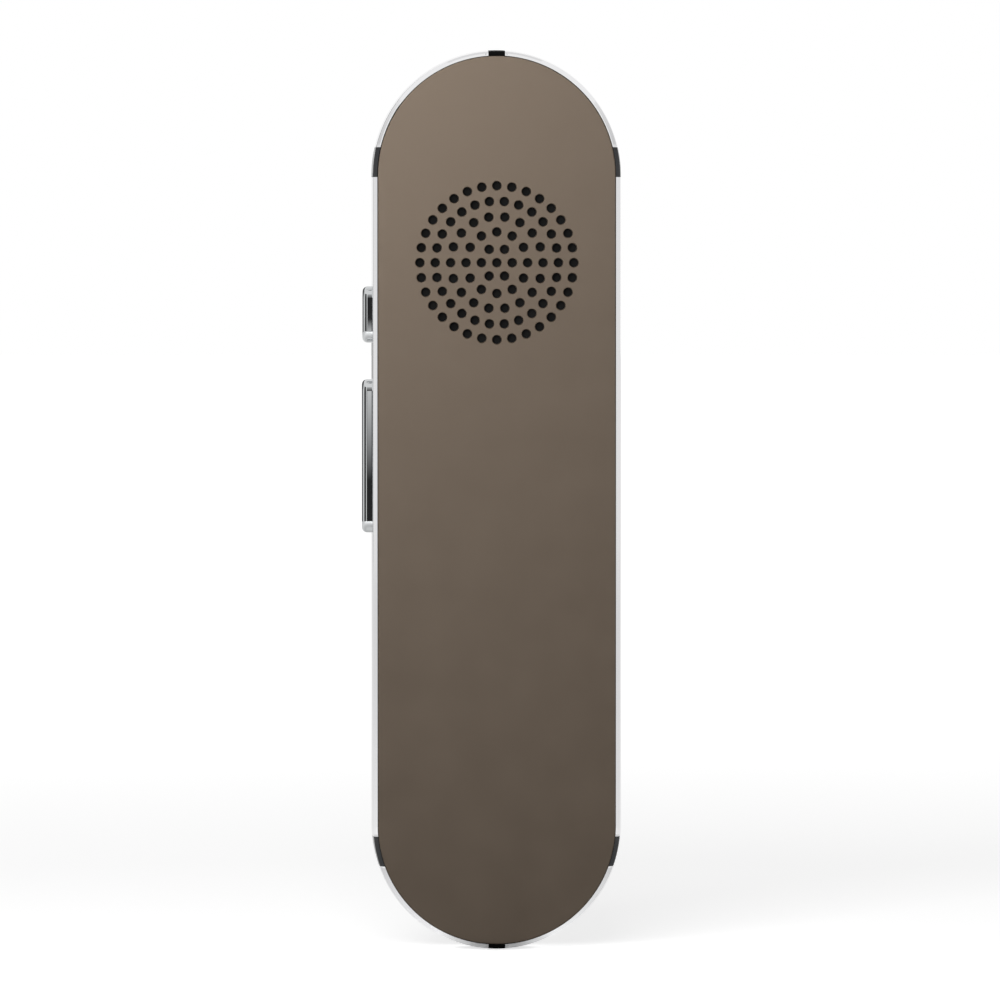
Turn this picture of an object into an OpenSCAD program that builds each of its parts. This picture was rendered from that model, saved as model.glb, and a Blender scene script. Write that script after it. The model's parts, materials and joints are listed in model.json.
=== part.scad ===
// Handheld voice translator.
// A pill-shaped body: a split metal band holds a drilled back cover over a
// round speaker, and a glossy front cover with two talk keys. A power key and
// a volume rocker stand out of the band's left side, and the charging socket
// is in the lower end.
//
// Frame: the origin is the middle of the back cover's outer face. +Z runs up
// the length to the speaker end, +Y from the back cover to the front cover,
// and +X to the right as the back cover is seen. Millimetres.

/* [Body] */
// Length of the body
body_l = 136.8; // [135:0.1:145]
// Width of the body, without the side keys
body_w = 38; // [37.5:0.25:40]
// Thickness of the body over the two covers
body_t = 12; // [12:0.1:13]
// Width of the bright rim round each cover
rim_w = 0.9; // [0.75:0.05:0.95]
// Wall of the metal band
band_wall = 1.6; // [1.5:0.05:1.7]
// Radius of the band's slightly crowned side
crown_r = 60; // [50:5:120]
// Thickness of the drilled back cover
back_t = 1; // [0.9:0.05:1]
// Thickness of the glossy front cover
front_t = 1.2; // [1.1:0.05:1.3]

/* [Band joints] */
// Length of each dark insert in the sides
side_insert_l = 4.5; // [3:0.1:6]
// How far the upper side inserts reach below the upper arcs
upper_insert_drop = 0.3; // [0.1:0.1:1]
// How far the rails reach into the lower arcs before the lower side inserts
lower_rail_reach = 1.7; // [0.5:0.1:3]
// Width of the inserts at the middle of both ends
centre_insert_w = 2.5; // [2:0.1:4]

/* [Speaker grille] */
// Height of the grille's centre
grille_z = 36.1; // [35.6:0.1:37]
// Distance between neighbouring rings of holes
ring_pitch = 2.335; // [2.2:0.005:2.4]
// Number of holes in each ring, from the middle outwards
ring_holes = [1, 6, 12, 18, 26, 32];
// Diameter of each hole
hole_d = 1.3; // [0.9:0.05:1.5]
// Width of the chamfer round each hole
hole_chamfer = 0.1; // [0.05:0.01:0.15]

/* [Side keys] */
// Height of the power key's centre
power_z = 28.2; // [27.5:0.1:28.5]
// Length of the power key
power_l = 8.6; // [7:0.1:9]
// Height of the volume rocker's centre
volume_z = 6.6; // [6:0.1:7]
// Length of the volume rocker
volume_l = 23; // [22:0.1:24]
// Width of both side keys across the band
side_key_w = 3.6; // [3.2:0.1:3.8]
// How far both side keys stand out of the band
side_key_proud = 1.45; // [1:0.05:1.6]
// Rounding of the side keys' outer edge
side_key_edge = 0.75; // [0.3:0.05:0.9]
// Travel of the power key
power_travel = 0.3; // [0.2:0.05:0.3]
// Tilt of the volume rocker to each side, in degrees
volume_tilt = 1.9; // [1:0.1:1.9]

/* [Talk keys] */
// Height of the middle of the two talk keys
talk_z = -14; // [-16:0.5:-12]
// Length of the opening for both talk keys
talk_l = 38; // [34:0.5:40]
// Width of the opening for both talk keys
talk_w = 16; // [14:0.5:17]
// Width of the bright trim round the talk keys
trim_w = 0.8; // [0.6:0.05:1]
// Travel of each talk key
talk_travel = 0.3; // [0.2:0.05:0.3]

/* [Socket] */
// Width of the charging socket's shell
usb_w = 8.94; // [8.9:0.01:9]
// Height of the charging socket's shell
usb_h = 3.26; // [3.2:0.01:3.3]

/* [Hidden] */
$fn = 64;

// Outline
half_w = body_w / 2;
spine = body_l / 2 - half_w;        // from the middle to each end arc's centre
upper_insert_z = spine - upper_insert_drop;    // lower edge of the upper side inserts
lower_insert_z = -spine - lower_rail_reach;    // upper edge of the lower side inserts
mid_y = body_t / 2;
inner_r = half_w - band_wall;       // inside of the band
slack = 0.02;                       // between the band and the moulding in it
sink = 0.1;                         // overlap of shapes that are one piece
back_edge = 0.12;                   // rounding of the back cover's outer edge
front_edge = 0.5;                   // rounding of the front cover's outer edge
cover_gap = 0.05;                   // between a cover's edge and the band
cover_r = half_w - rim_w - cover_gap;
rim_drop = 0.1;                     // how far the rim lies below the covers
deck_y = body_t - front_t;          // inner face of the front cover
far = 200;                          // larger than the whole body

// Moulded frame inside the band
tape_t = 0.15;
frame_r = inner_r - slack;
frame_wall = 1.2;
frame_in_r = frame_r - frame_wall;
frame_y0 = back_t + tape_t;
frame_y1 = deck_y - tape_t;
web_y0 = mid_y + 0.6;               // the web is the floor that the board lies over
web_y1 = web_y0 + 0.8;
web_gap = 0.6;                      // round what passes through the web's windows
rib_t = 1;
rib_y = [frame_y0, web_y0 + sink];

// Board
board_y0 = mid_y + usb_h / 2;
board_t = 0.8;
board_y1 = board_y0 + board_t;
board_r = 14.6;
peg_r = 0.8;                        // of the pegs that place the board by its edge notches
peg_gap = 0.1;
peg_spots = [for (s = [-1, 1], z = [-22, 42]) [s * (board_r + peg_gap), z]];
boss_r = 1.6;
boss_y0 = 4.4;
screw_r = 0.8;
bore_r = 0.85;
screw_head_r = 1.5;
screw_head_t = 0.7;
screw_spots = [for (s = [-1, 1]) each [[9.5 * s, 55.5], [13 * s, 20.4], [12 * s, -47.5]]];

// Side keys, measured from the band's left side inwards
wall_out_x = -half_w;
wall_in_x = -inner_r;
key_gap = 0.1;                      // round a side key in its slot
flange_t = 0.4;
flange_lip = 0.7;
key_back_x = wall_in_x + 0.05 + flange_t;
dome_t = max(power_travel, talk_travel);   // each dome is as high as its key's travel
dome_sheet = 0.08;
dome_r = 2;
nub_r = 0.6;
nub_end_x = key_back_x + 0.63;
pin_in = 0.65;                      // from a key's back to the rocker's pin
nub_gap = 0.02;                     // between a key's nose and its dome
dome_top_x = nub_end_x + nub_gap;
flex_x = dome_top_x + dome_t;
flex_t = 0.18;
bracket_x = flex_x + flex_t;
bracket_t = 0.4;
bay_x = bracket_x + bracket_t;      // face of the rib behind the bracket
bay_y = [mid_y - 2.9, mid_y + 2.9];
bay_z = [-7.5, 34];
bracket_y = [mid_y - 2.8, mid_y + 2.3];
bracket_z = [-7, 33.6];
ear_t = 0.4;                        // the ears are the bracket's two lugs that hold the pin
ear_y = [mid_y - 2.3, mid_y + 1.9];
ear_half_z = 1.2;
ear_over = 0.7;                     // from the pin's axis to the ears' free end
flex_y1 = mid_y + 1.8;
flex_slot_y = [mid_y - 2.4, mid_y + 2];
tail_z = [12.5, 16.5];
tail_end_x = 2 - board_r;
pin_r = 0.35;
pin_bore_r = 0.4;
pin_x = key_back_x + pin_in;
rocker_end_gap = key_gap + (half_w + pin_x) * sin(volume_tilt);   // for the rocker's tilt
leg_half_z = 1.05;
leg_y = [mid_y - 1.6, mid_y + 1.6];
leg_over = 0.6;                     // from the pin's axis to the leg's end
leg_slot_y = 0.2;                   // play of the leg in the bracket's window
leg_slot_z = 0.35;
volume_nub_z = 8.5;

// Talk keys, measured from the front cover inwards
trim_r = talk_w / 2 + trim_w;
trim_proud = 0.25;
trim_bar = 1;
trim_flange = 0.75;
trim_edge = 0.3;
trim_bar_proud = 0.1;
trim_y0 = deck_y - 0.4;
talk_gap = 0.1;
talk_face_y = body_t + 0.15;
talk_edge = 0.35;
talk_flange_t = 0.35;
talk_flange_y = trim_y0 - 0.05 - talk_flange_t;
talk_nub_r = 1.5;
talk_nub_y = board_y1 + dome_t + nub_gap;
talk_dome_r = 3;
talk_key_z = talk_l / 4;            // from the middle of the pair to each dome

// Speaker
speaker_r = 13.5;
mesh_t = 0.12;
gasket_r = 12.2;                    // inside of the gasket
gasket_y1 = 1.7;
cone_t = 0.12;
cone_depth = 1.5;
roll_r = 1.1;                       // of the diaphragm's half-round edge
coil_r = 5.5;
coil_t = 0.2;
coil_y1 = 5.2;
cap_r = 3 * coil_r;                 // of the dome over the coil
basket_y0 = gasket_y1 + cone_t;
basket_y1 = 2.6;                    // where the basket's rim ends and its cup begins
basket_wall = 1.2;
basket_floor_r = 11.4;
basket_floor = [4.6, 5.4];
basket_windows = 6;
basket_window_r = [8.2, 10.4];
basket_window_w = 5.2;
seat_r = 14;
seat_wall = 1;
pole_r = 5;
pole_y = [4.1, 4.7];
magnet_r = 4.9;
yoke_in_r = 6;
yoke_r = 6.9;
yoke_t = 0.6;
yoke_y1 = web_y0;
spring_x = 4.6;                     // of the two contact springs
spring_r = 0.5;

// Small parts on the board
can_half_w = 9;
can_z = [24, 50];
can_h = 1.4;
can_t = 0.2;
// Chips as centre x, centre z, width, length and height: the processor, the
// memory and the radio under the can, the charger and the codec near the socket
chip_list = [[0, 39, 10, 10, 0.9], [0, 29, 8, 6, 0.8], [-7, 37, 2, 6, 0.7],
             [0, -53, 6, 6, 0.9], [6.6, -54.4, 3.2, 3.2, 1.1]];
capacitor = [1, 0.5, 0.5];          // width, length and height
capacitor_pitch = 1.4;
capacitor_rows = [[7, 27], [-6.8, 43], [-5, -55]];
capacitors_in_row = 5;

// Battery
battery_w = 28;
battery_z = [-43, 17];
battery_y = [1.6, 6.5];
battery_edge = 1.2;
battery_gap = 0.3;                  // between the battery and the ribs round it
battery_rib_z = [-39, -10];
battery_stop_half_w = 13;
pad_half_w = 9;                     // of the tape and the foam on its two faces
pad_z = [-36, 10];
protect_y = [2.6, 3.6];             // of the protection board on its upper end
protect_l = 3;
lead_z = battery_z[1] + 1.8;
lead_r = 0.4;
connector_half_w = 2.6;
connector_y0 = 5.4;
connector_z = [17.3, 20.6];

// Charging socket
usb_wall = 0.3;
usb_mouth_z = -(body_l / 2 - 1.1);
usb_l = 7.35;
usb_fit = 0.03;                     // round the shell in the moulding
usb_surround_w = 11.6;
usb_surround_h = 5.2;
tongue_half_w = 3.35;
tongue_t = 0.7;
tongue_set = 1.5;                   // from the mouth to the tongue's tip
usb_back_t = 1;
mic_hole_r = 0.5;
mic_x = 9;                          // of the lower microphone
mic_size = [3.5, 1.1, 2.65];
boot_half_w = 2;
boot_drop = 1.2;                    // of the duct's floor below the hole's axis
boot_wall = 1.6;
upper_mic_z = 61;
lower_mic_z = -59.5;

// Status light in the front cover
light_z = 58.5;
light_r = 0.9;
light_gap = 0.05;
light_lip = 0.6;
light_lip_t = 0.5;
led_w = 1.6;
led_l = 0.8;
led_h = 0.6;

// Antenna film on the frame's right wall
film_t = 0.15;
film_y = [2, 6.2];
film_z = [-8, 24];

// ---------------------------------------------------------------- helpers

// Extrudes a sketch drawn in X and Z from y0 to y1.
module slab(y0, y1) {
    translate([0, y1, 0]) rotate([90, 0, 0]) linear_extrude(y1 - y0) children();
}

// Extrudes a sketch drawn in Y and Z from x0 to x1.
module along_x(x0, x1) {
    translate([x0, 0, 0]) rotate([90, 0, 90]) linear_extrude(x1 - x0) children();
}

// Turns a sketch of radius and Y about an axis along Y at (x, z).
module turned(x, z) {
    translate([x, 0, z]) rotate([-90, 0, 0]) rotate_extrude() children();
}

module block(x, y, z) {
    translate([x[0], y[0], z[0]]) cube([x[1] - x[0], y[1] - y[0], z[1] - z[0]]);
}

// Points along an arc about c from angle a0 to a1.
function arc(c, r, a0, a1, steps = 16) =
    [for (i = [0 : steps]) let (a = a0 + (a1 - a0) * i / steps) c + r * [cos(a), sin(a)]];

// A ring sketch of radius and Y.
module washer(r0, r1, y0, y1) {
    translate([r0, y0]) square([r1 - r0, y1 - y0]);
}

// Sketch with parallel sides and round ends.
module pill(r, half_spine) {
    square([2 * r, 2 * half_spine], center = true);
    for (s = [-1, 1]) translate([0, s * half_spine]) circle(r);
}

// Half section of a plate whose outer edge is rounded.
module edge_section(half, h, edge) {
    square([half - edge, h]);
    square([half, h - edge]);
    translate([half - edge, h - edge]) circle(edge);
}

// Pill-shaped block with a rounded upper edge, standing on Z = 0 with its length along Y.
module rounded_pill(l, w, h, edge) {
    half_spine = (l - w) / 2;
    rotate([90, 0, 0]) linear_extrude(2 * half_spine, center = true)
        for (s = [0, 1]) mirror([s, 0]) edge_section(w / 2, h, edge);
    for (s = [0, 1]) rotate(180 * s) translate([0, half_spine, 0])
        rotate_extrude(angle = 180) edge_section(w / 2, h, edge);
}

// The same block with its length along Z and its height along +Y, from y0 up.
module front_pill(z, y0, l, w, h, edge) {
    translate([0, y0, z]) mirror([0, 1, 0]) rotate([90, 0, 0]) rounded_pill(l, w, h, edge);
}

// The same block with its length along Z and its height along -X, from x0 outwards.
module side_pill(z, x0, l, w, h, edge) {
    translate([x0, mid_y, z]) mirror([1, 0, 0]) rotate([90, 0, 90]) rounded_pill(l, w, h, edge);
}

// Snap dome: a shallow sheet-metal cap of radius r and height h, standing on Z = 0.
module dome(r, h) {
    ball = (r * r + h * h) / (2 * h);
    rotate_extrude() intersection() {
        translate([0, h - ball]) difference() {
            circle(ball, $fn = 256);
            circle(ball - dome_sheet, $fn = 256);
        }
        square([r, h]);
    }
}

// ------------------------------------------------------------------- band

// Section of the band in radius and Y: crowned side, chamfered rims, and a
// seat for each cover.
module band_section() {
    intersection() {
        polygon([[half_w - rim_w, rim_drop],
                 [half_w, rim_drop + rim_w],
                 [half_w, body_t - rim_drop - rim_w],
                 [half_w - rim_w, body_t - rim_drop],
                 [half_w - rim_w, deck_y],
                 [inner_r, deck_y],
                 [inner_r, back_t],
                 [half_w - rim_w, back_t]]);
        translate([half_w - crown_r, mid_y]) circle(crown_r, $fn = 256);
    }
}

// Straight stretch of the band on the right (side 1) or left (side -1).
module band_straight(side, z0, z1) {
    mirror([side < 0 ? 1 : 0, 0, 0])
        translate([0, 0, z0]) linear_extrude(z1 - z0) band_section();
}

// Quarter arc of the band at the top (up 1) or bottom (up -1).
module band_arc(side, up) {
    mirror([side < 0 ? 1 : 0, 0, 0]) mirror([0, 0, up < 0 ? 1 : 0])
        translate([0, 0, spine]) mirror([0, 0, 1])
            rotate([-90, 0, 0]) rotate_extrude(angle = 90, $fn = 128) band_section();
}

// The part of an arc between two heights and clear of the centre insert.
module arc_piece(side, up, z0, z1) {
    x = side < 0 ? [-far, -centre_insert_w / 2] : [centre_insert_w / 2, far];
    intersection() {
        band_arc(side, up);
        block(x, [-far, far], [z0, z1]);
    }
}

module upper_band(side) {
    arc_piece(side, 1, upper_insert_z + side_insert_l, far);
}

module lower_band(side) {
    difference() {
        arc_piece(side, -1, -far, lower_insert_z - side_insert_l);
        socket_surround();
        if (side > 0) mic_channel(mic_x, -far, 0);
    }
}

module upper_insert(side) {
    band_straight(side, upper_insert_z, spine);
    arc_piece(side, 1, spine, upper_insert_z + side_insert_l);
}

module lower_insert(side) {
    arc_piece(side, -1, lower_insert_z - side_insert_l, lower_insert_z);
}

module rail(side) {
    band_straight(side, -spine, upper_insert_z);
    arc_piece(side, -1, lower_insert_z, -spine);
}

module end_strip(up) {
    intersection() {
        union() {
            band_arc(1, up);
            band_arc(-1, up);
        }
        block([-centre_insert_w / 2, centre_insert_w / 2], [-far, far], [-far, far]);
    }
}

// Microphone channel along Z.
module mic_channel(x, z0, z1) {
    translate([x, mid_y, z0]) cylinder(r = mic_hole_r, h = z1 - z0, $fn = 32);
}

// Pill-shaped prism round the charging socket, through the lower end.
module socket_surround() {
    translate([0, mid_y, -far]) linear_extrude(far - spine)
        rotate(90) pill(usb_surround_h / 2, (usb_surround_w - usb_surround_h) / 2);
}

module socket_cavity() {
    translate([0, mid_y, -far]) linear_extrude(far + usb_mouth_z + usb_l)
        rotate(90) pill(usb_h / 2 + usb_fit, (usb_w - usb_h) / 2);
}

module left_rail() {
    color("gainsboro") difference() {
        rail(-1);
        along_x(wall_out_x - 1, wall_in_x + 1) {
            translate([mid_y, power_z])
                pill(side_key_w / 2 + key_gap, (power_l - side_key_w) / 2);
            translate([mid_y, volume_z])
                pill(side_key_w / 2 + key_gap,
                     (volume_l - side_key_w) / 2 + rocker_end_gap - key_gap);
        }
    }
}

module right_rail() { color("gainsboro") rail(1); }
module upper_left_band() { color("silver") upper_band(-1); }
module upper_right_band() { color("silver") upper_band(1); }
module lower_left_band() { color("silver") lower_band(-1); }
module lower_right_band() { color("silver") lower_band(1); }
module upper_left_insert() { color("#404040") upper_insert(-1); }
module upper_right_insert() { color("#404040") upper_insert(1); }
module lower_left_insert() { color("#303030") lower_insert(-1); }
module lower_right_insert() { color("#303030") lower_insert(1); }

module top_insert() {
    color("#101010") difference() {
        end_strip(1);
        mic_channel(0, 0, far);
    }
}

module socket_insert() {
    color("#101010") difference() {
        union() {
            end_strip(-1);
            intersection() {
                union() {
                    band_arc(1, -1);
                    band_arc(-1, -1);
                }
                socket_surround();
            }
        }
        socket_cavity();
    }
}

// ----------------------------------------------------------------- covers

// Speaker holes: rings of chamfered drillings, each ring starting on the right.
module grille_holes() {
    for (ring = [0 : len(ring_holes) - 1], i = [0 : ring_holes[ring] - 1]) {
        a = 360 * i / ring_holes[ring];
        r = ring * ring_pitch;
        translate([r * cos(a), 0, grille_z + r * sin(a)]) rotate([-90, 0, 0]) {
            translate([0, 0, -1]) cylinder(d = hole_d, h = back_t + 2, $fn = 32);
            translate([0, 0, -hole_chamfer])
                cylinder(d1 = hole_d + 4 * hole_chamfer, d2 = hole_d,
                         h = 2 * hole_chamfer, $fn = 32);
        }
    }
}

module back_cover() {
    color("#6f6458") difference() {
        mirror([0, 1, 0])
            front_pill(0, -back_t, 2 * (spine + cover_r), 2 * cover_r, back_t, back_edge);
        grille_holes();
    }
}

module front_cover() {
    color("#0c0c0e") difference() {
        front_pill(0, deck_y, 2 * (spine + cover_r), 2 * cover_r, front_t, front_edge);
        slab(deck_y - 1, body_t + 1) translate([0, talk_z])
            pill(trim_r, (talk_l - talk_w) / 2);
        turned(0, light_z) washer(0, light_r + light_gap, deck_y - 1, body_t + 1);
    }
}

module adhesive(y0, y1) {
    slab(y0, y1) difference() {
        pill(frame_r, spine);
        pill(frame_in_r, spine);
    }
}

module back_adhesive() { color("#e6e2d0") adhesive(back_t, frame_y0); }
module front_adhesive() { color("#e6e2d0") adhesive(frame_y1, deck_y); }

// ---------------------------------------------------------- moulded frame

module boss(spot) {
    turned(spot[0], spot[1]) washer(0, boss_r, boss_y0, board_y0);
}

module mid_frame() {
    color("#2a2a2c") difference() {
        union() {
            slab(frame_y0, frame_y1) difference() {
                pill(frame_r, spine);
                pill(frame_in_r, spine);
            }
            slab(web_y0, web_y1) pill(frame_r - frame_wall / 2, spine);
            turned(0, grille_z) washer(seat_r, seat_r + seat_wall, gasket_y1, web_y0 + sink);
            block([bay_x, bay_x + rib_t], rib_y, bay_z);
            for (spot = screw_spots) boss(spot);
            battery_ribs();
            for (spot = peg_spots)
                turned(spot[0], spot[1]) washer(0, peg_r, web_y1 - sink, board_y1);
        }
        block([-half_w, bay_x], bay_y, bay_z);
        for (spot = screw_spots)
            turned(spot[0], spot[1]) washer(0, bore_r, boss_y0 - 1, board_y0 + 1);
        socket_cavity();
        mic_channel(0, spine, far);
        mic_channel(mic_x, -far, -spine);
        web_window(0, usb_w / 2, [-spine - 14, usb_mouth_z + usb_l]);
        web_window(0, mic_size[0] / 2, mic_span(upper_mic_z));
        web_window(mic_x, mic_size[0] / 2, mic_span(lower_mic_z));
        web_window(0, connector_half_w, connector_z);
        for (s = [-1, 1]) turned(s * spring_x, grille_z)
            washer(0, spring_r + web_gap, web_y0 - 1, web_y1 + 1);
    }
}

// Ribs along both sides of the battery, and the one across its lower end.
module battery_ribs() {
    side = battery_w / 2 + battery_gap;
    for (s = [0, 1]) mirror([s, 0, 0]) block([side, side + rib_t], rib_y, battery_rib_z);
    block([-battery_stop_half_w, battery_stop_half_w], rib_y,
          [battery_z[0] - battery_gap - rib_t, battery_z[0] - battery_gap]);
}

// Window in the web round a part that is centred on x.
module web_window(x, half_w, z) {
    block([x - half_w - web_gap, x + half_w + web_gap], [web_y0 - 1, web_y1 + 1],
          [z[0] - web_gap, z[1] + web_gap]);
}

// Lowest and highest Z of a microphone.
function mic_span(z) = [z - mic_size[2] / 2, z + mic_size[2] / 2];

// -------------------------------------------------------------- side keys

module power_key() {
    color("silver") {
        side_pill(power_z, key_back_x, power_l, side_key_w,
                  key_back_x - wall_out_x + side_key_proud, side_key_edge);
        along_x(key_back_x - flange_t, key_back_x) translate([mid_y, power_z])
            pill(side_key_w / 2 + flange_lip, (power_l - side_key_w) / 2);
        translate([key_back_x - sink, mid_y, power_z]) rotate([0, 90, 0])
            cylinder(r = nub_r, h = nub_end_x - key_back_x + sink, $fn = 32);
    }
}

module volume_rocker() {
    color("silver") difference() {
        union() {
            side_pill(volume_z, key_back_x, volume_l, side_key_w,
                      key_back_x - wall_out_x + side_key_proud, side_key_edge);
            for (s = [-1, 1]) translate([key_back_x - sink, mid_y, volume_z + s * volume_nub_z])
                rotate([0, 90, 0])
                    cylinder(r = nub_r, h = nub_end_x - key_back_x + sink, $fn = 32);
            block([key_back_x - sink, pin_x + leg_over], leg_y,
                  [volume_z - leg_half_z, volume_z + leg_half_z]);
        }
        turned(pin_x, volume_z) washer(0, pin_bore_r, 0, body_t);
    }
}

module rocker_pin() {
    color("lightgray") turned(pin_x, volume_z)
        washer(0, pin_r, ear_y[0] - sink, ear_y[1] + ear_t + sink);
}

module side_key_bracket() {
    color("#9a9a9a") difference() {
        union() {
            block([bracket_x, bracket_x + bracket_t], bracket_y, bracket_z);
            for (y = ear_y) block([pin_x - ear_over, bracket_x + bracket_t], [y, y + ear_t],
                                  [volume_z - ear_half_z, volume_z + ear_half_z]);
        }
        block([bracket_x - 1, bracket_x + 1], [leg_y[0] - leg_slot_y, leg_y[1] + leg_slot_y],
              [volume_z - leg_half_z - leg_slot_z, volume_z + leg_half_z + leg_slot_z]);
        turned(pin_x, volume_z) washer(0, pin_r, 0, body_t);
    }
}

// Printed film under the side keys, with a tail bent over the board.
module side_key_flex() {
    slot_half_z = ear_half_z + 0.4;
    color("#b5651d") difference() {
        union() {
            block([flex_x, bracket_x], [bracket_y[0], flex_y1], bracket_z);
            block([flex_x, bracket_x], [flex_y1 - sink, board_y1 + flex_t], tail_z);
            block([flex_x, tail_end_x], [board_y1, board_y1 + flex_t], tail_z);
        }
        block([flex_x - 1, bracket_x + 1], flex_slot_y,
              [volume_z - slot_half_z, volume_z + slot_half_z]);
    }
}

module side_dome(z) {
    translate([flex_x, mid_y, z]) rotate([0, -90, 0]) dome(dome_r, dome_t);
}

module power_dome() { color("gold") side_dome(power_z); }
module volume_domes() {
    color("gold") for (s = [-1, 1]) side_dome(volume_z + s * volume_nub_z);
}

// -------------------------------------------------------------- talk keys

module talk_key_trim() {
    half_spine = (talk_l - talk_w) / 2;
    color("silver") translate([0, 0, talk_z]) difference() {
        union() {
            front_pill(0, trim_y0, talk_l + 2 * trim_w, talk_w + 2 * trim_w,
                       body_t + trim_proud - trim_y0, trim_edge);
            slab(trim_y0, deck_y) pill(trim_r + trim_flange, half_spine);
        }
        difference() {
            slab(trim_y0 - 1, far) pill(talk_w / 2, half_spine);
            block([-far, far], [-far, body_t + trim_bar_proud], [-trim_bar / 2, trim_bar / 2]);
        }
    }
}

// One of the two talk keys: the upper (up 1) or lower (up -1) half of the pill.
module talk_key(up) {
    half_spine = (talk_l - talk_w) / 2;
    key_l = talk_l - 2 * talk_gap;
    key_w = talk_w - 2 * talk_gap;
    translate([0, 0, talk_z]) mirror([0, 0, up < 0 ? 1 : 0]) {
        intersection() {
            front_pill(0, talk_flange_y, key_l, key_w, talk_face_y - talk_flange_y, talk_edge);
            block([-far, far], [0, far], [trim_bar / 2 + talk_gap, far]);
        }
        intersection() {
            slab(talk_flange_y, talk_flange_y + talk_flange_t) pill(trim_r, half_spine);
            block([-far, far], [0, far], [trim_bar / 2 + talk_gap, far]);
        }
        turned(0, talk_key_z) washer(0, talk_nub_r, talk_nub_y, talk_flange_y + sink);
    }
}

module upper_talk_key() { color("#1a1a1c") talk_key(1); }
module lower_talk_key() { color("#1a1a1c") talk_key(-1); }

module talk_dome(z) {
    translate([0, board_y1, z]) rotate([-90, 0, 0]) dome(talk_dome_r, dome_t);
}

module upper_talk_dome() { color("gold") talk_dome(talk_z + talk_key_z); }
module lower_talk_dome() { color("gold") talk_dome(talk_z - talk_key_z); }

// ---------------------------------------------------------------- speaker

module speaker_mesh() {
    color("#0a0a0a") turned(0, grille_z) washer(0, speaker_r, back_t, back_t + mesh_t);
}

module speaker_gasket() {
    color("#222222") turned(0, grille_z)
        washer(gasket_r, speaker_r, back_t + mesh_t, gasket_y1);
}

// Diaphragm, as a section of radius and depth below its flat edge: the edge, a
// half-round roll, a cone down to the voice coil and a dome over the coil.
module cone_section() {
    edge = speaker_r - 0.1;
    roll = [gasket_r - roll_r, 0];
    lean = asin(cone_t / roll_r);
    cap = [0, cone_depth + sqrt(cap_r * cap_r - coil_r * coil_r)];
    half = asin(coil_r / cap_r);
    polygon(concat([[edge, 0]],
                   arc(roll, roll_r - cone_t, 0, 180),
                   arc(cap, cap_r, half - 90, -90),
                   arc(cap, cap_r - cone_t, -90, half - 90),
                   [[coil_r + coil_t, cone_depth + cone_t]],
                   arc(roll, roll_r, 180 - lean, lean),
                   [[edge, cone_t]]));
}

module speaker_cone() {
    color("#3a3028") turned(0, grille_z) translate([0, gasket_y1]) cone_section();
}

module voice_coil() {
    color("#b87333") turned(0, grille_z)
        washer(coil_r - coil_t, coil_r + coil_t, gasket_y1 + cone_depth + cone_t, coil_y1);
}

// Basket: a rim, a slanted cup, and a floor with windows that holds the yoke.
module speaker_basket() {
    rim_in_r = speaker_r - basket_wall;
    floor_in_r = basket_floor_r - basket_wall / 2;
    color("#3c3c40") difference() {
        turned(0, grille_z) polygon([[speaker_r, basket_y0], [speaker_r, basket_y1],
                                     [basket_floor_r, basket_floor[1]],
                                     [yoke_r, basket_floor[1]], [yoke_r, basket_floor[0]],
                                     [floor_in_r, basket_floor[0]],
                                     [rim_in_r, basket_y1], [rim_in_r, basket_y0]]);
        for (i = [0 : basket_windows - 1])
            translate([0, 0, grille_z]) rotate([0, 360 * (i + 0.5) / basket_windows, 0])
                block(basket_window_r, [basket_y1, web_y0],
                      [-basket_window_w / 2, basket_window_w / 2]);
    }
}

module pole_plate() {
    color("#a8a8a8") turned(0, grille_z) washer(0, pole_r, pole_y[0], pole_y[1]);
}

module speaker_magnet() {
    color("#55555a") turned(0, grille_z)
        washer(0, magnet_r, pole_y[1], yoke_y1 - yoke_t);
}

module speaker_yoke() {
    color("#b0b0b0") turned(0, grille_z) {
        washer(yoke_in_r, yoke_r, pole_y[0], yoke_y1);
        washer(0, yoke_r, yoke_y1 - yoke_t, yoke_y1);
    }
}

module speaker_springs() {
    color("gold") for (s = [-1, 1])
        turned(s * spring_x, grille_z) washer(0, spring_r, yoke_y1, board_y0);
}

// ------------------------------------------------------------------ board

module main_board() {
    color("#14502c") difference() {
        slab(board_y0, board_y1) pill(board_r, spine);
        for (spot = screw_spots) turned(spot[0], spot[1]) washer(0, bore_r, 0, body_t);
        for (spot = peg_spots) turned(spot[0], spot[1]) washer(0, peg_r + peg_gap, 0, body_t);
    }
}

module board_screws() {
    color("#c8c8c8") for (spot = screw_spots) turned(spot[0], spot[1]) {
        washer(0, screw_r, boss_y0 + 2 * sink, board_y1 + sink);
        washer(0, screw_head_r, board_y1, board_y1 + screw_head_t);
    }
}

module shield_can() {
    inside = can_half_w - can_t;
    color("#d0d0d0") difference() {
        block([-can_half_w, can_half_w], [board_y1, board_y1 + can_h], can_z);
        block([-inside, inside], [board_y1 - 1, board_y1 + can_h - can_t],
              [can_z[0] + can_t, can_z[1] - can_t]);
    }
}

// A small part on the board's front, centred on x and z.
module on_board(x, z, w, l, h) {
    block([x - w / 2, x + w / 2], [board_y1, board_y1 + h], [z - l / 2, z + l / 2]);
}

module chips() {
    color("#181818") {
        for (c = chip_list) on_board(c[0], c[1], c[2], c[3], c[4]);
        for (row = capacitor_rows, i = [0 : capacitors_in_row - 1])
            on_board(row[0], row[1] + i * capacitor_pitch, capacitor[0], capacitor[1],
                     capacitor[2]);
    }
}

module charging_socket() {
    color("#c4c4c4") translate([0, mid_y, usb_mouth_z]) difference() {
        linear_extrude(usb_l) rotate(90) pill(usb_h / 2, (usb_w - usb_h) / 2);
        translate([0, 0, -usb_back_t]) linear_extrude(usb_l)
            rotate(90) pill(usb_h / 2 - usb_wall, (usb_w - usb_h) / 2);
    }
}

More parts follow.
